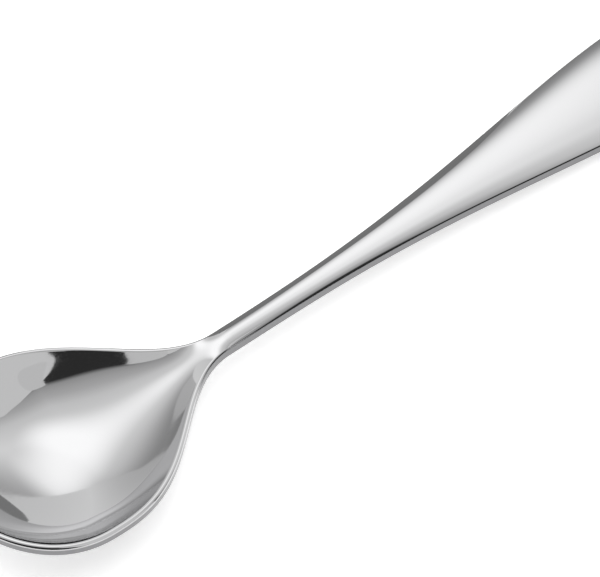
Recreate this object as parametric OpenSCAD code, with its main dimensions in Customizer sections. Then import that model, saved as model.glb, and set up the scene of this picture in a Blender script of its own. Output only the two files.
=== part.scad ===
// Fruit spoon lying on a table: a deep oval bowl, a slim neck and a crowned handle that widens to its end.
// X runs from the bowl's tip to the handle's end, Y across, Z up. Lengths are in millimetres.
// The origin is on the table, under the middle of the spoon's length.

/* [Whole spoon] */
// Length from the bowl's tip to the end of the handle
overall_l = 175; // [150:1:210]

/* [Bowl] */
// Width across the bowl at its widest
bowl_w = 42; // [34:0.5:52]
// Distance from the tip back to the widest place
widest_at = 18.5; // [14:0.5:26]
// Distance from the tip back to the narrowest place of the neck, where bowl and handle meet
neck_at = 58.5; // [48:0.5:70]
// Depth inside, from the rim's inner edge down to the bottom
bowl_depth = 7.7; // [6:0.1:10]
// Distance from the tip back to the deepest place
deepest_at = 21; // [17:0.5:26]
// Thickness of the metal at the bottom of the bowl
bowl_wall = 1.6; // [1:0.1:2.4]
// Radius of the rounding along the rim
rim_r = 0.6; // [0.3:0.05:0.7]
// Height of the rim, from its top to the foot of its outer face
rim_side = 1.9; // [1:0.1:2.4]
// Tilt of the rim, tip upwards, in degrees
rim_tilt = 6.3; // [3:0.1:9]

/* [Neck and handle] */
// Width of the neck at its narrowest
neck_w = 4.6; // [3.5:0.1:7]
// Height of the neck's side face
neck_side = 2.1; // [1.6:0.1:3]
// Width of the handle at its widest, near the end
handle_w = 21.5; // [14:0.5:26]
// Height of the handle's side face
handle_side = 1.9; // [1.4:0.1:2.6]
// Length of the rounded end, past the handle's widest place
end_l = 11; // [8:0.5:16]
// Rise of the edges from the bowl's heel to the neck
neck_rise = 0.3; // [0:0.05:0.6]
// Rise of the crown over the edges behind the neck
neck_crown = 0.55; // [0.3:0.05:0.9]
// Rise of the crown over the edges where the handle is widest
handle_crown = 1.1; // [0.4:0.05:1.5]
// Swell of the underside of the handle
belly = 0.3; // [0.1:0.05:0.6]
// Radius of the rounding along the handle's upper edges
edge_r = 0.45; // [0.3:0.05:0.7]
// Fall of the handle behind the neck, in degrees
handle_fall = 1.8; // [0.5:0.1:2.6]

/* [Fineness] */
// Steps from the tip to the widest place of the bowl
tip_steps = 18; // [12:1:24]
// Steps from the widest place of the bowl to the neck
shoulder_steps = 26; // [16:1:32]
// Steps from the neck to the widest place of the handle
handle_steps = 34; // [20:1:44]
// Steps round the end of the handle
end_steps = 14; // [8:1:18]
// Steps across the upper face, and as many across the underside
across_steps = 24; // [12:2:28]
// Steps over the rounded lip
lip_steps = 6; // [3:1:8]

/* [Hidden] */

// Powers of the curves: the outline's tip, shoulder, flare and end, and the keel's heel
tip_power = 2.2;
shoulder_power = 2.5;
shoulder_run_out = 2.5;
flare_power = 2.9;
end_power = 2.3;
heel_power = 1.9;
// How far past the neck the hollow runs out, and how soon behind the tip it deepens
heel_at = neck_at + 1;
tip_start = 2;
// The power that makes the hollow deepest at its place
front_power = (heel_power / (heel_at - deepest_at) - 1 / deepest_at) * (deepest_at + tip_start);
// Fullness of the section: nought is a parabola, and more makes the middle flatter and the walls steeper
bowl_fullness = 0.65;
heel_fullness = 0;
handle_fullness = 0.5;
// The bend between the rim's line and the handle's, and the bend where the handle turns down to the table
bend_at = neck_at - 9;
bend_r = 10;
droop_at = overall_l - 26;
droop_r = 14;
// Where the changes towards the neck begin, and how long they are: the rise of the edges, the crown, the
// rounding of the edges, the easing of the section and its filling again behind, and the thicker metal
rise_from = neck_at - 14;
rise_l = 16;
crown_from = neck_at - 11;
crown_l = 14;
edge_l = 16;
ease_from = neck_at - 38.5;
ease_l = 24;
fill_from = neck_at - 6;
thicken_l = 24;
thin_l = 40;
// Depth over which the metal thickens from the rim's face to the bowl's wall
wall_blend = 4;
flare_end = overall_l - end_l;
// First and last angles of the steps round the tip and the end: a ring of no width has no area
tip_angle = 2;
end_angle = 88;

// A step from 0 to 1 with smooth first and second slopes
function ease(t) = let (c = min(1, max(0, t))) c * c * c * (10 - 15 * c + 6 * c * c);
function mix(a, b, t) = a + (b - a) * ease(t);
// A smooth bend: nought well before u = 0, and u well after it
function bend(u, r) = (u + sqrt(u * u + r * r)) / 2;

// Half the width of the outline at x from the tip
function shoulder(t) = (1 - t ^ shoulder_power) ^ shoulder_run_out;
function flare(t) = t ^ flare_power * (1 + flare_power * (1 - t));
function end_fade(x) = x < flare_end ? 1 : sqrt(1 - ((x - flare_end) / end_l) ^ end_power);
function half_w(x) =
    x < widest_at ? bowl_w / 2 * sqrt(1 - (1 - x / widest_at) ^ tip_power)
    : x < neck_at ? (neck_w + (bowl_w - neck_w) * shoulder((x - widest_at) / (neck_at - widest_at))) / 2
    : x < flare_end ? (neck_w + (handle_w - neck_w) * flare((x - neck_at) / (flare_end - neck_at))) / 2
    : handle_w / 2 * end_fade(x);

// Inward direction across the outline at x, from the slope of its half width
slope_step = 0.002;
function slope(x) =
    let (a = max(0, x - slope_step), b = min(overall_l, x + slope_step)) (half_w(b) - half_w(a)) / (b - a);
function inward(x) = let (s = slope(x)) [s, -1] / sqrt(1 + s * s);

// Sizes that change along the spoon
function up_to_neck(x, l) = (x - neck_at + l) / l;
function round_r(x) = mix(rim_r, edge_r, up_to_neck(x, edge_l));
function side(x) =
    x < neck_at ? mix(rim_side, neck_side, up_to_neck(x, thicken_l))
    : mix(neck_side, handle_side, (x - neck_at) / thin_l);
function crown(x) =
    let (swell = mix(0, handle_crown - neck_crown, (x - neck_at) / (flare_end - neck_at)))
    (mix(0, neck_crown, (x - crown_from) / crown_l) + swell) * end_fade(x) ^ 2;
function front_rise(x) = x / deepest_at * ((x + tip_start) / (deepest_at + tip_start)) ^ front_power;
function heel_rise(x) = ((heel_at - x) / (heel_at - deepest_at)) ^ heel_power;
function hollow(x) = x < heel_at ? bowl_depth * front_rise(x) * heel_rise(x) : 0;
function fullness(x) =
    let (eased = mix(bowl_fullness, heel_fullness, (x - ease_from) / ease_l))
    mix(eased, handle_fullness, (x - fill_from) / thin_l);
// Depth of the upper face below the edges at the middle, and of the underside below the side faces
function dip(x) = hollow(x) - crown(x);
function metal(x) =
    x < neck_at ? mix(0, bowl_wall - side(x), hollow(x) / wall_blend) + crown(x)
        + mix(0, belly, up_to_neck(x, thicken_l))
    : crown(x) + belly * end_fade(x) ^ 2;
function under_dip(x) = dip(x) + metal(x);
// Share of the depth at q across, from 1 in the middle to nought at the edges, where q is -1 or 1
function section(x, q) = (1 - q * q) * (1 + fullness(x) * q * q);
// Angle at which the upper face meets the rounding: below nought where a wall rises to it, and above nought
// where a crown falls to it
function lean(x) = -atan(2 * (1 + fullness(x)) * dip(x) * sqrt(1 + slope(x) ^ 2) / half_w(x));

// Height of the edges, first as a line through nought at the bend
function line_z(x, fall) =
    mix(-neck_rise, 0, (x - rise_from) / rise_l)
    - tan(rim_tilt) * (x - bend_at) + (tan(rim_tilt) - tan(handle_fall)) * bend(x - bend_at, bend_r)
    - (tan(fall) - tan(handle_fall)) * bend(x - droop_at, droop_r);
function keel_z(x, fall) = line_z(x, fall) - side(x) - under_dip(x);

// Stations along the spoon
tip_stations = [
    for (i = [0 : tip_steps - 1]) widest_at * (1 - cos(tip_angle + (90 - tip_angle) * i / tip_steps))
];
shoulder_stations = [
    for (i = [0 : shoulder_steps]) widest_at + (neck_at - widest_at) * i / shoulder_steps
];
handle_stations = [
    for (i = [0 : handle_steps - 1]) neck_at + (flare_end - neck_at) * i / handle_steps
];
end_stations = [
    for (i = [0 : end_steps]) flare_end + end_l * sin(end_angle * i / end_steps)
];
bowl_stations = concat(tip_stations, shoulder_stations);
rear_stations = concat(handle_stations, end_stations);

// The spoon lies on the bottom of its bowl and on the underside of the handle's end. The lift sets the bowl
// down, and the fall of the end, found by halving, brings the end down as well.
function lowest(stations, fall) = min([for (x = stations) keel_z(x, fall)]);
level_end = 0;
steep_end = 30;
halvings = 24;
function find_fall(low, high, left) =
    let (mid = (low + high) / 2)
    left == 0 ? mid
    : lowest(rear_stations, mid) > lowest(bowl_stations, mid) ? find_fall(mid, high, left - 1)
    : find_fall(low, mid, left - 1);
end_fall = find_fall(level_end, steep_end, halvings);
lift = -lowest(bowl_stations, end_fall);
function edge_z(x) = line_z(x, end_fall) + lift;

// One closed ring of points at x: the upper face, the rounding, the side, the underside and the other side
function ring(x) =
    let (
        w = half_w(x),
        r = round_r(x),
        n = inward(x) * r,
        first = lean(x),
        middle = edge_z(x) - r,
        foot = edge_z(x) - side(x),
        upper = [
            for (i = [0 : across_steps]) let (q = sin(180 * i / across_steps - 90), in = 1 - sin(first))
                [x + n[0] * in, (w + n[1] * in) * q, middle + r * cos(first) - dip(x) * section(x, q)]
        ],
        lip_out = [
            for (i = [1 : lip_steps]) let (a = first + (90 - first) * i / lip_steps, in = 1 - sin(a))
                [x + n[0] * in, w + n[1] * in, middle + r * cos(a)]
        ],
        under = [
            for (i = [0 : across_steps]) let (q = sin(90 - 180 * i / across_steps))
                [x, w * q, foot - under_dip(x) * section(x, q)]
        ],
        lip_back = [for (i = [lip_steps - 1 : -1 : 0]) let (p = lip_out[i]) [p[0], -p[1], p[2]]]
    )
    [for (p = concat(upper, lip_out, under, lip_back)) p - [overall_l / 2, 0, 0]];

// A closed solid through the rings at the given stations
module loft(stations) {
    rings = [for (x = stations) ring(x)];
    count = len(rings[0]);
    last = len(rings) - 1;
    points = [for (r = rings) each r];
    skin = [
        for (i = [0 : last - 1]) for (j = [0 : count - 1])
            let (k = (j + 1) % count, a = i * count, b = a + count)
                each [[a + j, a + k, b + k], [a + j, b + k, b + j]]
    ];
    front = [for (j = [count - 1 : -1 : 0]) j];
    back = [for (j = [0 : count - 1]) last * count + j];
    polyhedron(points, concat(skin, [front, back]), convexity = 6);
}

module bowl() {
    color([0.80, 0.80, 0.81]) loft(bowl_stations);
}

module handle() {
    color([0.82, 0.82, 0.83]) loft(rear_stations);
}

bowl();
handle();
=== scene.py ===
"""Fruit spoon of mirror-polished steel, lying on a pale studio floor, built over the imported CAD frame.

The bowl and the handle are lofts made by one Geometry Nodes tree: a spine of stations along the spoon, each with its
sizes, and a ring that goes once round the metal. The rules for the sizes are those of the CAD part.
X runs from the bowl's tip to the handle's end, Y across and Z up, in metres.
"""
import math

import bmesh
import bpy
from bpy.props import FloatProperty, FloatVectorProperty, PointerProperty
from mathutils import Matrix, Vector


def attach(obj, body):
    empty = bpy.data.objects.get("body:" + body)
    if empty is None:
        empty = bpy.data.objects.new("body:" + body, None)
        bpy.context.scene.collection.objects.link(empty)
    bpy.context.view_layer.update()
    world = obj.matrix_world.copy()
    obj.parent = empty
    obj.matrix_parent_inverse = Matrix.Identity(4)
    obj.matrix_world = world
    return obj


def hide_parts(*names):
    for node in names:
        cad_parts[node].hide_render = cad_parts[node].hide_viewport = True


bl_info = {
    "name": "Fruit spoon",
    "version": (1, 0, 0),
    "blender": (4, 5, 0),
    "location": "View3D > Sidebar > Fruit spoon",
    "description": "Builds a mirror-polished fruit spoon and the studio it lies in",
    "category": "Object",
}

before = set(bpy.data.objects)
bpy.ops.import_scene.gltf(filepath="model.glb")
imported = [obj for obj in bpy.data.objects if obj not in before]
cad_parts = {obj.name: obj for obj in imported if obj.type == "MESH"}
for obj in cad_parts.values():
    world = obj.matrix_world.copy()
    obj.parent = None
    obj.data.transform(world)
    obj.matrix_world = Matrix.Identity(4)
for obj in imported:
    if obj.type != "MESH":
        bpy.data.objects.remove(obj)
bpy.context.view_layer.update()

PHOTO_W, PHOTO_H = 600, 577


def length(name, description, default):
    """A size in metres."""
    return FloatProperty(name=name, description=description, default=default, unit="LENGTH", subtype="DISTANCE")


def angle(name, description, degrees):
    """An angle, given in degrees."""
    return FloatProperty(name=name, description=description, default=math.radians(degrees), subtype="ANGLE")


def colour(name, description, default):
    """A linear colour."""
    return FloatVectorProperty(name=name, description=description, default=default, subtype="COLOR", min=0, max=1)


def factor(name, description, default, highest=1):
    """A plain number from nought up."""
    return FloatProperty(name=name, description=description, default=default, min=0, max=highest)


def fullness(name, description, default):
    """How far a section differs from a parabola, which is nought."""
    return FloatProperty(name=name, description=description, default=default, min=-0.9, max=2)


class SpoonSizes(bpy.types.PropertyGroup):
    """Sizes of the spoon, the same as those of the CAD part"""

    overall_l: length("Length", "From the bowl's tip to the end of the handle", 0.175)
    bowl_w: length("Bowl width", "Across the bowl at its widest", 0.042)
    widest_at: length("Widest at", "From the tip back to the widest place", 0.0185)
    neck_at: length("Neck at", "From the tip back to the narrowest place, where bowl and handle meet", 0.0585)
    bowl_depth: length("Bowl depth", "From the rim's inner edge down to the bottom", 0.0077)
    deepest_at: length("Deepest at", "From the tip back to the deepest place", 0.021)
    bowl_wall: length("Bowl wall", "Thickness of the metal at the bottom of the bowl", 0.0016)
    rim_r: length("Rim radius", "Rounding along the rim", 0.0006)
    rim_side: length("Rim height", "From the top of the rim to the foot of its outer face", 0.0019)
    rim_tilt: angle("Rim tilt", "Tilt of the rim, tip upwards", 6.3)
    neck_w: length("Neck width", "Across the neck at its narrowest", 0.0046)
    neck_side: length("Neck side", "Height of the neck's side face", 0.0021)
    handle_w: length("Handle width", "Across the handle at its widest, near the end", 0.0215)
    handle_side: length("Handle side", "Height of the handle's side face", 0.0019)
    end_l: length("End length", "Of the rounded end, past the handle's widest place", 0.011)
    neck_rise: length("Neck rise", "How far the edges rise at the neck", 0.0003)
    neck_crown: length("Neck crown", "Rise of the crown over the edges behind the neck", 0.00055)
    handle_crown: length("Handle crown", "Rise of the crown where the handle is widest", 0.0011)
    belly: length("Belly", "Swell of the underside of the handle", 0.0003)
    edge_r: length("Edge radius", "Rounding along the handle's upper edges", 0.00045)
    foot_r: length("Lower edge radius", "Rounding along the lower edges, all round", 0.00025)
    handle_fall: angle("Handle fall", "Fall of the handle behind the neck", 1.8)
    bowl_fullness: fullness("Bowl fullness", "Steepness of the bowl's walls", 0.65)
    heel_fullness: fullness("Heel fullness", "Steepness of the walls in front of the neck", 0.0)
    handle_fullness: fullness("Handle fullness", "Steepness of the sides of the handle's crown", 0.5)


class SpoonFinish(bpy.types.PropertyGroup):
    """Finish of the steel, with the painted shade of its side faces"""

    steel: colour("Steel", "Colour of the polished faces", (0.585, 0.585, 0.59))
    # The edge colour is painted shade. It darkens the side faces and the outer upper rounding to stand for the darker
    # surroundings they mirror. Only their roughness is the steel's own finish.
    edge: colour("Edge", "Colour of the side faces, as blanked and buffed", (0.225, 0.225, 0.23))
    polish: factor("Polish", "Roughness of the polished faces", 0.045)
    edge_polish: factor("Edge polish", "Roughness of the side faces", 0.16)
    hairlines: factor("Hairlines", "Strength of the fine polishing lines", 0.06)


class SpoonStage(bpy.types.PropertyGroup):
    """Camera and studio"""

    camera_el: angle("Camera height", "Angle of the camera above the horizon", 52.985)
    camera_turn: angle("Camera turn", "Angle between the spoon and the picture's right", 40.036)
    camera_far: length("Camera distance", "From the neck's level to the camera", 0.8)
    floor: colour("Floor", "Colour of the floor", (0.9, 0.9, 0.9))
    floor_glow: factor("Floor glow", "Light that the floor adds of its own, to show white", 0.5)
    tent: factor("Tent", "Brightness of the light tent's cloth", 1.1, 5)
    softbox: factor("Softbox", "Brightness that a softbox adds to the tent's cloth", 0.58, 20)
    card: factor("Cards", "Brightness of the cards round the bowl", 0.86, 5)
    lamp: factor("Lamp", "Power of the overhead lamp that fills the floor, in watts", 20.0, 500)


# The rules of the shape, as in the CAD part.
TIP_POWER = 2.2
SHOULDER_POWER = 2.5
FLARE_POWER = 2.9
END_POWER = 2.3
HEEL_POWER = 1.9
HEEL_PAST_NECK = 0.001
TIP_START = 0.002
BEND_BEFORE_NECK, BEND_R = 0.009, 0.010
DROOP_BEFORE_END, DROOP_R = 0.026, 0.014
RISE_BEFORE_NECK, RISE_L = 0.014, 0.016
CROWN_BEFORE_NECK, CROWN_L = 0.011, 0.014
EDGE_BEFORE_NECK = 0.016
EASE_BEFORE_NECK = (0.0385, 0.0145)
FILL_BEFORE_NECK = 0.006
THICKEN_BEFORE_NECK = 0.024
THIN_L = 0.040
WALL_BLEND = 0.004
NEAR_NOUGHT = 1e-7
# The steepest fall of the handle's end that is tried, in degrees, and how often the range is halved.
STEEPEST_FALL, HALVINGS = 30, 24

# How far round the upper rounding the side faces' rougher finish and painted shade begin, and over how much they fade
# in.
RIM_EDGE_FROM, HANDLE_EDGE_FROM, EDGE_FADE = 0.85, 0.30, 0.15

# Steps of the lofts.
TIP_STEPS, SHOULDER_STEPS = 70, 130
HANDLE_STEPS, END_STEPS = 150, 50
UPPER_STEPS, UNDER_STEPS = 110, 64
ROUND_STEPS, FOOT_STEPS, SIDE_STEPS = 12, 5, 3
WELD = 1e-6


def ease(t):
    """A step from 0 to 1 with smooth first and second slopes."""
    c = min(1.0, max(0.0, t))
    return c * c * c * (10 - 15 * c + 6 * c * c)


def blend(a, b, t):
    """From a to b as t goes from 0 to 1."""
    return a + (b - a) * ease(t)


def bend(u, r):
    """A smooth bend: nought well before u = 0, and u well after it."""
    return (u + math.sqrt(u * u + r * r)) / 2


class SpoonShape:
    """The spoon's sizes at any distance x from the tip."""

    def __init__(self, sizes):
        self.s = sizes
        self.flare_end = sizes.overall_l - sizes.end_l
        self.heel_at = sizes.neck_at + HEEL_PAST_NECK
        heel = HEEL_POWER / (self.heel_at - sizes.deepest_at)
        self.front_power = (heel - 1 / sizes.deepest_at) * (sizes.deepest_at + TIP_START)
        self.end_fall = self.find_fall()
        self.lift = -self.lowest(self.bowl_stations(), self.end_fall)

    def bowl_stations(self):
        """Stations from the tip to the neck, closest together round the tip."""
        s = self.s
        tip = [s.widest_at * (1 - math.cos(math.pi / 2 * i / TIP_STEPS)) for i in range(TIP_STEPS)]
        back = s.neck_at - s.widest_at
        return tip + [s.widest_at + back * i / SHOULDER_STEPS for i in range(SHOULDER_STEPS + 1)]

    def handle_stations(self):
        """Stations from the neck to the end, closest together round the end."""
        s = self.s
        shaft = self.flare_end - s.neck_at
        along = [s.neck_at + shaft * i / HANDLE_STEPS for i in range(HANDLE_STEPS)]
        return along + [self.flare_end + s.end_l * math.sin(math.pi / 2 * i / END_STEPS) for i in range(END_STEPS + 1)]

    def past_neck(self, x, before):
        """From 0 at the given distance before the neck to 1 at the neck."""
        return (x - self.s.neck_at + before) / before

    def end_fade(self, x):
        """From 1 where the rounded end begins to nought at the end."""
        t = max(0.0, (x - self.flare_end) / self.s.end_l)
        return math.sqrt(max(0.0, 1 - t ** END_POWER))

    def half_w(self, x):
        """Half the width of the outline."""
        s = self.s
        if x < s.widest_at:
            return s.bowl_w / 2 * math.sqrt(max(0.0, 1 - (1 - x / s.widest_at) ** TIP_POWER))
        if x < s.neck_at:
            t = (x - s.widest_at) / (s.neck_at - s.widest_at)
            return (s.neck_w + (s.bowl_w - s.neck_w) * (1 - t ** SHOULDER_POWER) ** SHOULDER_POWER) / 2
        if x < self.flare_end:
            t = (x - s.neck_at) / (self.flare_end - s.neck_at)
            return (s.neck_w + (s.handle_w - s.neck_w) * t ** FLARE_POWER * (1 + FLARE_POWER * (1 - t))) / 2
        return s.handle_w / 2 * self.end_fade(x)

    def slope(self, x):
        """Slope of the half width, from the rule's own derivative."""
        s = self.s
        if x < s.widest_at:
            t = 1 - x / s.widest_at
            return (s.bowl_w / 2) ** 2 * TIP_POWER * t ** (TIP_POWER - 1) / (2 * s.widest_at * self.half_w(x))
        if x < s.neck_at:
            run = s.neck_at - s.widest_at
            t = (x - s.widest_at) / run
            inner = 1 - t ** SHOULDER_POWER
            fall = SHOULDER_POWER ** 2 * t ** (SHOULDER_POWER - 1) * inner ** (SHOULDER_POWER - 1)
            return -(s.bowl_w - s.neck_w) / 2 * fall / run
        if x < self.flare_end:
            run = self.flare_end - s.neck_at
            t = (x - s.neck_at) / run
            rise = FLARE_POWER * (1 + FLARE_POWER) * t ** (FLARE_POWER - 1) * (1 - t)
            return (s.handle_w - s.neck_w) / 2 * rise / run
        t = (x - self.flare_end) / s.end_l
        return -(s.handle_w / 2) ** 2 * END_POWER * t ** (END_POWER - 1) / (2 * s.end_l * self.half_w(x))

    def round_r(self, x):
        """Radius of the upper rounding."""
        return blend(self.s.rim_r, self.s.edge_r, self.past_neck(x, EDGE_BEFORE_NECK))

    def side(self, x):
        """Height from the top of the edge to the foot of the side face."""
        s = self.s
        if x < s.neck_at:
            return blend(s.rim_side, s.neck_side, self.past_neck(x, THICKEN_BEFORE_NECK))
        return blend(s.neck_side, s.handle_side, (x - s.neck_at) / THIN_L)

    def crown(self, x):
        """Rise of the upper face over the edges."""
        s = self.s
        neck = blend(0, s.neck_crown, (x - s.neck_at + CROWN_BEFORE_NECK) / CROWN_L)
        along = (x - s.neck_at) / (self.flare_end - s.neck_at)
        return (neck + blend(0, s.handle_crown - s.neck_crown, along)) * self.end_fade(x) ** 2

    def hollow(self, x):
        """Depth of the bowl below the edges, before the crown is added."""
        s = self.s
        if x >= self.heel_at:
            return 0.0
        front = x / s.deepest_at * ((x + TIP_START) / (s.deepest_at + TIP_START)) ** self.front_power
        heel = ((self.heel_at - x) / (self.heel_at - s.deepest_at)) ** HEEL_POWER
        return s.bowl_depth * front * heel

    def fullness(self, x):
        """How far the section differs from a parabola."""
        s = self.s
        first, last = (s.neck_at - before for before in EASE_BEFORE_NECK)
        bowl = blend(s.bowl_fullness, s.heel_fullness, (x - first) / (last - first))
        return blend(bowl, s.handle_fullness, (x - s.neck_at + FILL_BEFORE_NECK) / THIN_L)

    def dip(self, x):
        """Depth of the upper face below the edges at the middle; below nought on the crown."""
        return self.hollow(x) - self.crown(x)

    def metal(self, x):
        """How much further the underside goes down from the side faces than the upper face does from the edges."""
        s = self.s
        if x < s.neck_at:
            wall = blend(0, s.bowl_wall - self.side(x), self.hollow(x) / WALL_BLEND)
            return wall + self.crown(x) + blend(0, s.belly, self.past_neck(x, THICKEN_BEFORE_NECK))
        return self.crown(x) + s.belly * self.end_fade(x) ** 2

    def wall_angle(self, x, depth):
        """Angle at which a face of that depth meets the edge."""
        steepness = 2 * (1 + self.fullness(x)) * depth * math.hypot(1, self.slope(x))
        return math.atan(steepness / self.half_w(x))

    def line_z(self, x, fall):
        """Height of the edges along the spoon, with nought at the bend."""
        s = self.s
        tilt, level = math.tan(s.rim_tilt), math.tan(s.handle_fall)
        u = x - (s.neck_at - BEND_BEFORE_NECK)
        v = x - (s.overall_l - DROOP_BEFORE_END)
        rise = blend(-s.neck_rise, 0, (x - s.neck_at + RISE_BEFORE_NECK) / RISE_L)
        return rise - tilt * u + (tilt - level) * bend(u, BEND_R) - (math.tan(fall) - level) * bend(v, DROOP_R)

    def lowest(self, stations, fall):
        """Lowest height of the keel over the stations."""
        return min(self.line_z(x, fall) - self.side(x) - self.dip(x) - self.metal(x) for x in stations)

    def find_fall(self):
        """Fall of the handle's end that sets it on the table together with the bowl, found by halving."""
        low, high = 0.0, math.radians(STEEPEST_FALL)
        for _ in range(HALVINGS):
            middle = (low + high) / 2
            if self.lowest(self.handle_stations(), middle) > self.lowest(self.bowl_stations(), middle):
                low = middle
            else:
                high = middle
        return (low + high) / 2

    def edge_z(self, x):
        """Height of the edges over the table."""
        return self.line_z(x, self.end_fall) + self.lift

    def station(self, x):
        """Every value that the loft needs at x, by the name of its attribute."""
        s = self.s
        inside = min(max(x, NEAR_NOUGHT), s.overall_l - NEAR_NOUGHT)
        slope = self.slope(inside)
        long = math.hypot(1, slope)
        edge, r, foot_r = self.edge_z(x), self.round_r(x), s.foot_r
        upper_lean = -self.wall_angle(inside, self.dip(inside))
        under_lean = math.pi - self.wall_angle(inside, self.dip(inside) + self.metal(inside))
        ends = x <= 0 or x >= s.overall_l
        return {
            "along": x - s.overall_l / 2,
            "half_width": 0.0 if ends else self.half_w(x),
            "inward_x": slope / long,
            "inward_y": -1 / long,
            "fullness": self.fullness(x),
            "upper_lean": upper_lean,
            "upper_round": r,
            "upper_middle": edge - r,
            "upper_depth": self.dip(x),
            "under_lean": under_lean,
            "under_round": foot_r,
            "under_middle": edge - self.side(x) - foot_r * math.cos(under_lean),
            "under_depth": self.dip(x) + self.metal(x),
            "edge_from": blend(RIM_EDGE_FROM, HANDLE_EDGE_FROM, self.past_neck(x, EDGE_BEFORE_NECK)),
        }


def ring_points():
    """Once round the metal: across the upper face, down one side, back along the underside and up the other side.

    across goes from -1 to 1, turn from 0 on a face to 1 on a side, and under is 1 on the lower half.
    """
    upper = [(math.sin(math.pi * (i / UPPER_STEPS - 0.5)), 0.0, 0.0) for i in range(UPPER_STEPS + 1)]
    rounding = [(1.0, i / ROUND_STEPS, 0.0) for i in range(1, ROUND_STEPS + 1)]
    side = [(1.0, 1.0, i / SIDE_STEPS) for i in range(1, SIDE_STEPS + 1)]
    foot = [(1.0, 1 - i / FOOT_STEPS, 1.0) for i in range(1, FOOT_STEPS + 1)]
    under = [(-math.sin(math.pi * (i / UNDER_STEPS - 0.5)), 0.0, 1.0) for i in range(1, UNDER_STEPS)]
    half = rounding + side + foot
    back = [(-1.0, turn, low) for _, turn, low in reversed(half)]
    return upper + half + under + back + upper[:1]


def attribute_mesh(name, rows):
    """A mesh of loose points that carries each row's values as attributes."""
    mesh = bpy.data.meshes.new(name)
    mesh.from_pydata([(0, 0, 0)] * len(rows), [], [])
    for key in rows[0]:
        layer = mesh.attributes.new(key, "FLOAT", "POINT")
        layer.data.foreach_set("value", [row[key] for row in rows])
    return mesh


class NodeMaker:
    """Adds nodes to a tree and joins them."""

    def __init__(self, tree):
        self.tree = tree

    def add(self, kind, inputs=None, **settings):
        """One node, with its settings made and its inputs joined or set, by name or by number."""
        node = self.tree.nodes.new(kind)
        for key, value in settings.items():
            setattr(node, key, value)
        for key, value in (inputs or {}).items():
            socket = node.inputs[key]
            if isinstance(value, bpy.types.NodeSocket):
                self.tree.links.new(value, socket)
            else:
                socket.default_value = value
        return node

    def math(self, operation, a, b=0.0, c=0.0):
        """One sum, as a socket."""
        return self.add("ShaderNodeMath", {0: a, 1: b, 2: c}, operation=operation).outputs[0]


STATION_KEYS = ("along", "half_width", "inward_x", "inward_y", "fullness", "edge_from")
HALF_KEYS = ("lean", "round", "middle", "depth")


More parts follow.
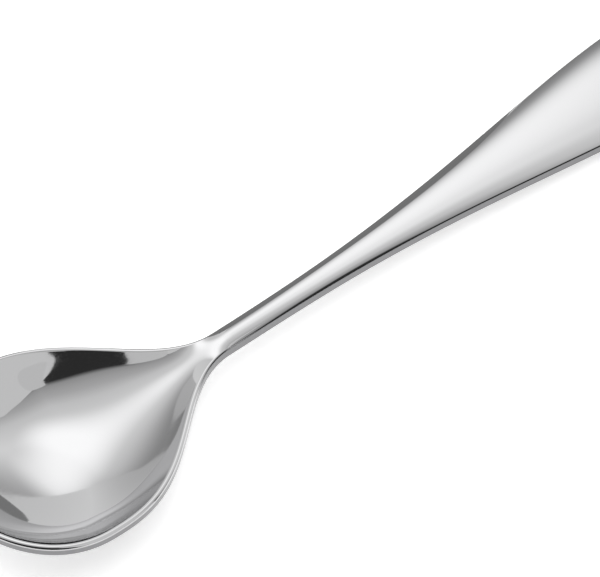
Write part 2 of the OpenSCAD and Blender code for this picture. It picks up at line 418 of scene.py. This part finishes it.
def loft_tree():
    """The loft of the spoon's metal: its geometry is the spine, and the ring and the sizes are its inputs."""
    tree = bpy.data.node_groups.new("spoon_loft", "GeometryNodeTree")
    face = tree.interface
    face.new_socket("Geometry", in_out="INPUT", socket_type="NodeSocketGeometry")
    face.new_socket("Ring", in_out="INPUT", socket_type="NodeSocketObject")
    face.new_socket("Weld distance", in_out="INPUT", socket_type="NodeSocketFloat")
    face.new_socket("Steel", in_out="INPUT", socket_type="NodeSocketMaterial")
    face.new_socket("Geometry", in_out="OUTPUT", socket_type="NodeSocketGeometry")
    make = NodeMaker(tree)
    given = make.add("NodeGroupInput").outputs
    spine = given["Geometry"]
    ring = make.add("GeometryNodeObjectInfo", {"Object": given["Ring"]}).outputs["Geometry"]
    stations = make.add("GeometryNodeAttributeDomainSize", {0: spine}).outputs["Point Count"]
    round_count = make.add("GeometryNodeAttributeDomainSize", {0: ring}).outputs["Point Count"]
    grid = make.add("GeometryNodeMeshGrid", {"Vertices X": stations, "Vertices Y": round_count}).outputs["Mesh"]
    index = make.add("GeometryNodeInputIndex").outputs[0]
    station = make.math("FLOOR", make.math("DIVIDE", make.math("ADD", index, 0.5), round_count))
    place = make.math("SUBTRACT", index, make.math("MULTIPLY", station, round_count))

    def sample(geometry, key, at):
        named = make.add("GeometryNodeInputNamedAttribute", {"Name": key}, data_type="FLOAT").outputs[0]
        return make.add("GeometryNodeSampleIndex", {0: geometry, 1: named, "Index": at}).outputs[0]

    s = {key: sample(spine, key, station) for key in STATION_KEYS}
    across, turn, under = (sample(ring, key, place) for key in ("across", "turn", "under"))

    def either(key):
        """The upper half's value, the lower half's, or between them on the side face."""
        upper, lower = (sample(spine, half + key, station) for half in ("upper_", "under_"))
        return make.math("MULTIPLY_ADD", make.math("SUBTRACT", lower, upper), under, upper)

    half = {key: either(key) for key in HALF_KEYS}
    to_side = make.math("SUBTRACT", math.pi / 2, half["lean"])
    lean = make.math("MULTIPLY_ADD", to_side, turn, half["lean"])
    inset = make.math("MULTIPLY", half["round"], make.math("SUBTRACT", 1.0, make.math("SINE", lean)))
    square = make.math("MULTIPLY", across, across)
    share = make.math(
        "MULTIPLY", make.math("SUBTRACT", 1.0, square), make.math("MULTIPLY_ADD", s["fullness"], square, 1.0)
    )
    x = make.math("MULTIPLY_ADD", s["inward_x"], inset, s["along"])
    y = make.math("MULTIPLY", across, make.math("MULTIPLY_ADD", s["inward_y"], inset, s["half_width"]))
    top = make.math("MULTIPLY_ADD", half["round"], make.math("COSINE", lean), half["middle"])
    z = make.math("SUBTRACT", top, make.math("MULTIPLY", half["depth"], share))
    position = make.add("ShaderNodeCombineXYZ", {"X": x, "Y": y, "Z": z}).outputs[0]
    shaped = make.add("GeometryNodeSetPosition", {"Geometry": grid, "Position": position}).outputs[0]
    # Mask of the side faces and the outer part of the upper rounding. There the steel is rougher, and its colour is
    # darkened as painted shade.
    edge_shade_and_rough = make.add(
        "ShaderNodeMapRange",
        {"Value": turn, "From Min": s["edge_from"], "From Max": make.math("ADD", s["edge_from"], EDGE_FADE)},
        interpolation_type="SMOOTHSTEP",
    ).outputs[0]
    banded = make.add(
        "GeometryNodeStoreNamedAttribute", {"Geometry": shaped, "Name": "side_face", "Value": edge_shade_and_rough},
        data_type="FLOAT", domain="POINT",
    ).outputs[0]
    welded = make.add(
        "GeometryNodeMergeByDistance", {"Geometry": banded, "Distance": given["Weld distance"]}
    ).outputs[0]
    smooth = make.add("GeometryNodeSetShadeSmooth", {"Geometry": welded}).outputs[0]
    real = make.add("GeometryNodeRealizeInstances", {"Geometry": smooth}).outputs[0]
    coated = make.add("GeometryNodeSetMaterial", {"Geometry": real, "Material": given["Steel"]}).outputs[0]
    make.add("NodeGroupOutput", {"Geometry": coated})
    return tree


def close_ends(mesh):
    """Closes the open end at the neck with a flat face behind a sharp edge."""
    work = bmesh.new()
    work.from_mesh(mesh)
    open_edges = [edge for edge in work.edges if edge.is_boundary]
    filled = bmesh.ops.holes_fill(work, edges=open_edges, sides=0)["faces"]
    for edge in open_edges:
        edge.smooth = False
    for face in filled:
        face.smooth = False
    bmesh.ops.triangulate(work, faces=filled)
    bmesh.ops.recalc_face_normals(work, faces=work.faces)
    still_open = sum(1 for edge in work.edges if not edge.is_manifold)
    work.to_mesh(mesh)
    work.free()
    if still_open:
        raise RuntimeError("the loft has %d open edges" % still_open)


def loft(name, stations, material):
    """One piece of the spoon, as a plain mesh object at the origin."""
    shape = SpoonShape(bpy.context.scene.spoon_sizes)
    spine = attribute_mesh(name + "_spine", [shape.station(x) for x in stations(shape)])
    keys = ("across", "turn", "under")
    ring = bpy.data.objects.new("ring", attribute_mesh("ring", [dict(zip(keys, row)) for row in ring_points()]))
    source = bpy.data.objects.new(name + "_source", spine)
    collection = bpy.context.scene.collection
    collection.objects.link(source)
    collection.objects.link(ring)
    modifier = source.modifiers.new("loft", "NODES")
    tree = bpy.data.node_groups.get("spoon_loft") or loft_tree()
    modifier.node_group = tree
    values = {"Ring": ring, "Weld distance": WELD, "Steel": material}
    for item in tree.interface.items_tree:
        if item.in_out == "INPUT" and item.name in values:
            modifier[item.identifier] = values[item.name]
    evaluated = source.evaluated_get(bpy.context.evaluated_depsgraph_get())
    mesh = bpy.data.meshes.new_from_object(evaluated)
    source.modifiers.remove(modifier)
    for helper in (source, ring):
        bpy.data.objects.remove(helper)
    mesh.name = name
    close_ends(mesh)
    piece = bpy.data.objects.new(name, mesh)
    collection.objects.link(piece)
    return piece


def new_material(name):
    """An empty material and a maker for its nodes."""
    material = bpy.data.materials.new(name)
    material.use_nodes = True
    material.node_tree.nodes.clear()
    return material, NodeMaker(material.node_tree)


# The polish. Lines are fine across the spoon and long along it, and clouds make it slightly uneven.
LINE_SCALE, LINE_DETAIL = (60, 2600, 2600), 4.0
LINE_STRENGTH, LINE_HEIGHT = 0.02, 0.00002
CLOUD_SCALE, CLOUD_DETAIL, CLOUD_SHARE = 90.0, 3.0, 0.03


def polished_steel(name):
    """Mirror-polished steel: faint lines along the spoon, slight unevenness, and rougher side faces whose darker colour
    is painted shade.
    """
    finish = bpy.context.scene.spoon_finish
    material, make = new_material(name)
    place = make.add("ShaderNodeTexCoord").outputs["Object"]
    lines_place = make.add("ShaderNodeMapping", {"Vector": place, "Scale": LINE_SCALE}).outputs[0]
    lines = make.add("ShaderNodeTexNoise", {"Vector": lines_place, "Scale": 1.0, "Detail": LINE_DETAIL}).outputs[0]
    clouds = make.add(
        "ShaderNodeTexNoise", {"Vector": place, "Scale": CLOUD_SCALE, "Detail": CLOUD_DETAIL}
    ).outputs[0]
    side_shade_and_rough = make.add("ShaderNodeAttribute", attribute_name="side_face").outputs["Fac"]
    # The side colour is painted shade. It is darker steel that stands for the darker surroundings mirrored on the side
    # faces and the outer rounding.
    shade = make.add(
        "ShaderNodeMix", {0: side_shade_and_rough, 6: (*finish.steel, 1), 7: (*finish.edge, 1)}, data_type="RGBA"
    )
    streak = make.math("MULTIPLY_ADD", make.math("SUBTRACT", lines, 0.5), finish.hairlines, finish.polish)
    uneven = make.math("MULTIPLY_ADD", make.math("SUBTRACT", clouds, 0.5), CLOUD_SHARE, streak)
    rough = make.math("MULTIPLY_ADD", side_shade_and_rough, finish.edge_polish - finish.polish, uneven)
    bump = make.add(
        "ShaderNodeBump", {"Strength": LINE_STRENGTH, "Distance": LINE_HEIGHT, "Height": lines}
    ).outputs[0]
    surface = make.add(
        "ShaderNodeBsdfPrincipled",
        {"Base Color": shade.outputs[2], "Metallic": 1.0, "Roughness": rough, "Normal": bump},
    )
    make.add("ShaderNodeOutputMaterial", {"Surface": surface.outputs[0]})
    return material


class SPOON_OT_bowl(bpy.types.Operator):
    """Make the bowl with its rim and the front half of the neck"""

    bl_idname = "spoon.bowl"
    bl_label = "Bowl"

    def execute(self, context):
        piece = loft("spoon_bowl", SpoonShape.bowl_stations, polished_steel("bowl_polished_steel"))
        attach(piece, "root")
        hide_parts("bowl")
        return {"FINISHED"}


class SPOON_OT_handle(bpy.types.Operator):
    """Make the handle with the rear half of the neck"""

    bl_idname = "spoon.handle"
    bl_label = "Handle"

    def execute(self, context):
        piece = loft("spoon_handle", SpoonShape.handle_stations, polished_steel("handle_polished_steel"))
        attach(piece, "root")
        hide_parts("handle")
        return {"FINISHED"}


# Where the neck's middle lies in the photo, in its pixels, and how many pixels a metre takes there.
NECK_PIXEL = (222.59, 338.01)
PIXELS_PER_METRE = 5869.5
SENSOR_W_MM = 36.0
CLIP = (0.01, 50)

# Sizes of the studio, in metres: the floor, the tent with its steps round and up and its lower end, and the lamp.
FLOOR_SIDE = 6.0
TENT_R = 2.6
TENT_STEPS = (48, 24)
TENT_FOOT_Z = -0.026
LAMP_SIDE, LAMP_Z = 2.4, 2.2


def studio_axes():
    """The picture's right, the level direction away from the camera, and up."""
    turn = bpy.context.scene.spoon_stage.camera_turn
    right = Vector((math.cos(turn), -math.sin(turn), 0))
    away = Vector((math.sin(turn), math.cos(turn), 0))
    return right, away, Vector((0, 0, 1))


def add_camera():
    """The camera, with the neck at its pixel of the photo."""
    scene = bpy.context.scene
    stage, sizes = scene.spoon_stage, scene.spoon_sizes
    right, away, up = studio_axes()
    e = stage.camera_el
    tall = math.sin(e) * away + math.cos(e) * up
    back = -math.cos(e) * away + math.sin(e) * up
    neck = Vector((sizes.neck_at - sizes.overall_l / 2, 0, SpoonShape(sizes).lift))
    across = (NECK_PIXEL[0] - (PHOTO_W - 1) / 2) / PIXELS_PER_METRE
    down = (NECK_PIXEL[1] - (PHOTO_H - 1) / 2) / PIXELS_PER_METRE
    place = neck - across * right + down * tall + stage.camera_far * back
    data = bpy.data.cameras.new("camera")
    data.sensor_width = SENSOR_W_MM
    data.lens = PIXELS_PER_METRE * stage.camera_far * data.sensor_width / PHOTO_W
    data.clip_start, data.clip_end = CLIP
    camera = bpy.data.objects.new("camera", data)
    camera.matrix_world = Matrix.Translation(place) @ Matrix((right, tall, back)).transposed().to_4x4()
    scene.collection.objects.link(camera)
    scene.camera = camera


def aim(azimuth, elevation):
    """A direction from the spoon: the azimuth turns from away from the camera towards the picture's right."""
    right, away, up = studio_axes()
    a, e = math.radians(azimuth), math.radians(elevation)
    return math.cos(e) * (math.cos(a) * away + math.sin(a) * right) + math.sin(e) * up


def stage_object(name, mesh, material, seen):
    """One object of the studio, hidden from the camera or not."""
    mesh.materials.append(material)
    thing = bpy.data.objects.new(name, mesh)
    thing.visible_camera = seen
    bpy.context.scene.collection.objects.link(thing)
    return thing


def floor_material():
    """A pale floor that shows white to the camera and in the steel, and keeps the spoon's shadow."""
    stage = bpy.context.scene.spoon_stage
    material, make = new_material("studio_floor")
    matt = make.add("ShaderNodeBsdfDiffuse", {"Color": (*stage.floor, 1)})
    path = make.add("ShaderNodeLightPath").outputs
    shown = make.math("MAXIMUM", path["Is Camera Ray"], path["Is Glossy Ray"])
    shown = make.math("MAXIMUM", shown, path["Is Transmission Ray"])
    glow = make.add("ShaderNodeEmission", {"Strength": make.math("MULTIPLY", shown, stage.floor_glow)})
    both = make.add("ShaderNodeAddShader", {0: matt.outputs[0], 1: glow.outputs[0]})
    make.add("ShaderNodeOutputMaterial", {"Surface": both.outputs[0]})
    return material


def add_floor():
    """A square floor at the table's height."""
    mesh = bpy.data.meshes.new("studio_floor")
    h = FLOOR_SIDE / 2
    mesh.from_pydata([(-h, -h, 0), (h, -h, 0), (h, h, 0), (-h, h, 0)], [], [(0, 1, 2, 3)])
    stage_object("studio_floor", mesh, floor_material(), seen=True)


# The light tent: a dome whose cloth is bright overhead, with two softboxes behind it, a dark opening on the camera's
# side and a dimmer backdrop low down on the far side. Directions are azimuth and elevation in degrees. The opening's
# stops give the cloth's brightness by the angle from the opening. A softbox and the backdrop fade between two angles.
OPENING = ((135, 12), (172, 12))
OPENING_STOPS = ((0, 0.03), (48, 0.035), (51.5, 0.40), (56, 0.48), (62, 0.56), (72, 0.78), (90, 0.95))
BACKDROP = ((-24, 0), (-4, 0))
BACKDROP_ANGLES, BACKDROP_LEVEL = (14, 56), 0.28
SOFTBOXES = (((-11, 64), (4, 25)), ((3, 41), (0, 18)))


def tent_material():
    """The tent's cloth, lit from behind, with its brightness set by direction."""
    stage = bpy.context.scene.spoon_stage
    material, make = new_material("tent_cloth")
    place = make.add("ShaderNodeTexCoord").outputs["Object"]
    way = make.add("ShaderNodeVectorMath", {0: place}, operation="NORMALIZE").outputs[0]

    def along(direction):
        """Cosine of the angle from a direction."""
        return make.add("ShaderNodeVectorMath", {0: way, 1: direction}, operation="DOT_PRODUCT").outputs["Value"]

    def ramp(value, low, high, start, end):
        """A smooth change from start to end as the value goes from low to high."""
        return make.add(
            "ShaderNodeMapRange",
            {"Value": value, "From Min": low, "From Max": high, "To Min": start, "To Max": end},
            interpolation_type="SMOOTHSTEP",
        ).outputs[0]

    def off(directions):
        """Angle from the nearest of the directions."""
        nearest = along(aim(*directions[0]))
        for direction in directions[1:]:
            nearest = make.math("MAXIMUM", nearest, along(aim(*direction)))
        return make.math("ARCCOSINE", nearest)

    off_opening = make.math("DIVIDE", off(OPENING), math.pi)
    cloth = make.add("ShaderNodeValToRGB", {"Fac": off_opening})
    stops = cloth.color_ramp.elements
    while len(stops) < len(OPENING_STOPS):
        stops.new(0.5)
    for stop, (degrees, level) in zip(stops, OPENING_STOPS):
        stop.position = degrees / 180
        stop.color = (level, level, level, 1)
    far = ramp(off(BACKDROP), *(math.radians(a) for a in BACKDROP_ANGLES), BACKDROP_LEVEL, 1.0)
    base = make.math("MULTIPLY", make.math("MULTIPLY", cloth.outputs["Color"], far), stage.tent)
    soft = make.math("ADD", *(
        ramp(off((direction,)), *(math.radians(a) for a in angles), stage.softbox, 0.0)
        for direction, angles in SOFTBOXES
    ))
    soft = make.math("MINIMUM", soft, stage.softbox)
    surface = make.add("ShaderNodeEmission", {"Strength": make.math("ADD", base, soft)})
    make.add("ShaderNodeOutputMaterial", {"Surface": surface.outputs[0]})
    return material


def add_tent():
    """A half sphere over the floor."""
    work = bmesh.new()
    bmesh.ops.create_uvsphere(work, u_segments=TENT_STEPS[0], v_segments=TENT_STEPS[1], radius=TENT_R)
    below = [vertex for vertex in work.verts if vertex.co.z < TENT_FOOT_Z]
    bmesh.ops.delete(work, geom=below, context="VERTS")
    mesh = bpy.data.meshes.new("light_tent")
    work.to_mesh(mesh)
    work.free()
    stage_object("light_tent", mesh, tent_material(), seen=False)


# Cards seen in the steel: four light grey ones for the bowl, and a dark flag for the handle's far edge. Each has its
# stand, as azimuth and distance from the middle of the bowl, its brightness at its two ends, and its outline in its own
# plane, across and up, in metres.
BOWL_MIDDLE = (-0.060, 0, 0.006)
CARDS = {
    "far_card": ((-10, 0.055), (1.12, 0.97), (
        (0.024, -0.03), (0.024, 0.024), (0.0205, 0.037), (0.0135, 0.048), (0.003, 0.0555), (-0.0027, 0.0560),
        (-0.003, 0.0555), (-0.003, -0.03),
    )),
    "side_card": ((-26, 1.5), (0.70, 1.14), (
        (0.42, -0.4), (0.42, 1.345), (0.415, 1.35), (0.10, 1.33), (-0.25, 0.95), (-0.37, 0.46), (-0.385, 0.26),
        (-0.375, 0.08), (-0.34, -0.1),
    )),
    "near_card": ((130, 0.08), (1, 1), (
        (-0.060, 0.0), (0.036, 0.0), (0.0405, 0.080), (0.0500, 0.104), (0.0525, 0.120), (0.0500, 0.147),
        (0.0365, 0.169), (0.0114, 0.1825), (-0.0246, 0.205), (-0.0734, 0.215), (-0.118, 0.236), (-0.118, 0.170),
        (-0.060, 0.130),
    )),
    "heel_card": ((172, 0.040), (0.92, 0.92), (
        (-0.0080, 0.055), (-0.0086, 0.070), (-0.0099, 0.085), (-0.0093, 0.098), (-0.0085, 0.107), (-0.030, 0.119),
        (-0.030, 0.055),
    )),
    "handle_flag": ((-40, 0.030), (0.32, 0.32), (
        (0.031, -0.02), (0.115, -0.02), (0.115, 0.027), (0.031, 0.027),
    )),
}
# Share of every side at which its corners are cut, and how often that is done.
CORNER_CUT = 0.25
ROUNDINGS = 3


def rounded(outline):
    """The outline with its corners cut until they look round."""
    points = [Vector(point) for point in outline]
    for _ in range(ROUNDINGS):
        pairs = list(zip(points, points[1:] + points[:1]))
        points = [a.lerp(b, part) for a, b in pairs for part in (CORNER_CUT, 1 - CORNER_CUT)]
    return points


def add_card(name, stand, levels, outline):
    """A card with that outline, seen only as a reflection, with its brightness graded across between two levels."""
    azimuth, distance = stand
    out = aim(azimuth, 0)
    across = aim(azimuth + 90, 0)
    foot = Vector(BOWL_MIDDLE) + distance * out
    foot.z = 0
    mesh = bpy.data.meshes.new(name)
    points = [foot + a * across + Vector((0, 0, b)) for a, b in rounded(outline)]
    mesh.from_pydata(points, [], [tuple(range(len(points)))])
    material, make = new_material(name)
    place = make.add("ShaderNodeTexCoord").outputs["Object"]
    off = make.add("ShaderNodeVectorMath", {0: place, 1: across}, operation="DOT_PRODUCT").outputs["Value"]
    ends = [foot.dot(across) + pick(a for a, _ in outline) for pick in (min, max)]
    level = make.add(
        "ShaderNodeMapRange",
        {"Value": off, "From Min": ends[0], "From Max": ends[1], "To Min": levels[0], "To Max": levels[1]},
    ).outputs[0]
    card_level = make.math("MULTIPLY", level, bpy.context.scene.spoon_stage.card)
    glow = make.add("ShaderNodeEmission", {"Strength": card_level})
    make.add("ShaderNodeOutputMaterial", {"Surface": glow.outputs[0]})
    card = stage_object(name, mesh, material, seen=False)
    card.visible_diffuse = False
    card.visible_shadow = False


def add_cards():
    """Every card of the table."""
    for name, card in CARDS.items():
        add_card(name, *card)


def add_lamp():
    """A wide lamp overhead that fills the floor and is not seen in the steel."""
    data = bpy.data.lights.new("overhead_lamp", "AREA")
    data.size = LAMP_SIDE
    data.energy = bpy.context.scene.spoon_stage.lamp
    lamp = bpy.data.objects.new("overhead_lamp", data)
    lamp.location = (0, 0, LAMP_Z)
    lamp.visible_glossy = False
    bpy.context.scene.collection.objects.link(lamp)


def add_room():
    """A plain white room outside the tent."""
    world = bpy.data.worlds.new("studio_room")
    world.use_nodes = True
    bpy.context.scene.world = world
    background = world.node_tree.nodes["Background"]
    background.inputs["Color"].default_value = (1, 1, 1, 1)
    background.inputs["Strength"].default_value = 1.0


class SPOON_OT_stage(bpy.types.Operator):
    """Set up the camera, the floor and the soft studio light"""

    bl_idname = "spoon.stage"
    bl_label = "Camera and studio"

    def execute(self, context):
        context.scene.view_settings.view_transform = "Standard"
        add_camera()
        add_room()
        add_floor()
        add_tent()
        add_cards()
        add_lamp()
        return {"FINISHED"}


class SPOON_PT_panel(bpy.types.Panel):
    """Lists the spoon's operators and sizes"""

    bl_idname = "SPOON_PT_panel"
    bl_label = "Fruit spoon"
    bl_space_type = "VIEW_3D"
    bl_region_type = "UI"
    bl_category = "Fruit spoon"

    def draw(self, context):
        column = self.layout.column()
        for operator in OPERATORS:
            column.operator(operator.bl_idname)
        for group in (context.scene.spoon_sizes, context.scene.spoon_finish, context.scene.spoon_stage):
            box = self.layout.box()
            for key in group.__annotations__:
                box.prop(group, key)


GROUPS = {"spoon_sizes": SpoonSizes, "spoon_finish": SpoonFinish, "spoon_stage": SpoonStage}
OPERATORS = (SPOON_OT_stage, SPOON_OT_bowl, SPOON_OT_handle)
CLASSES = (*GROUPS.values(), *OPERATORS, SPOON_PT_panel)


def register():
    for cls in CLASSES:
        bpy.utils.register_class(cls)
    for name, group in GROUPS.items():
        setattr(bpy.types.Scene, name, PointerProperty(type=group))


def unregister():
    for name in GROUPS:
        delattr(bpy.types.Scene, name)
    for cls in reversed(CLASSES):
        bpy.utils.unregister_class(cls)


def main():
    register()
    bpy.ops.spoon.stage()
    bpy.ops.spoon.bowl()
    bpy.ops.spoon.handle()


if __name__ == "__main__":
    main()
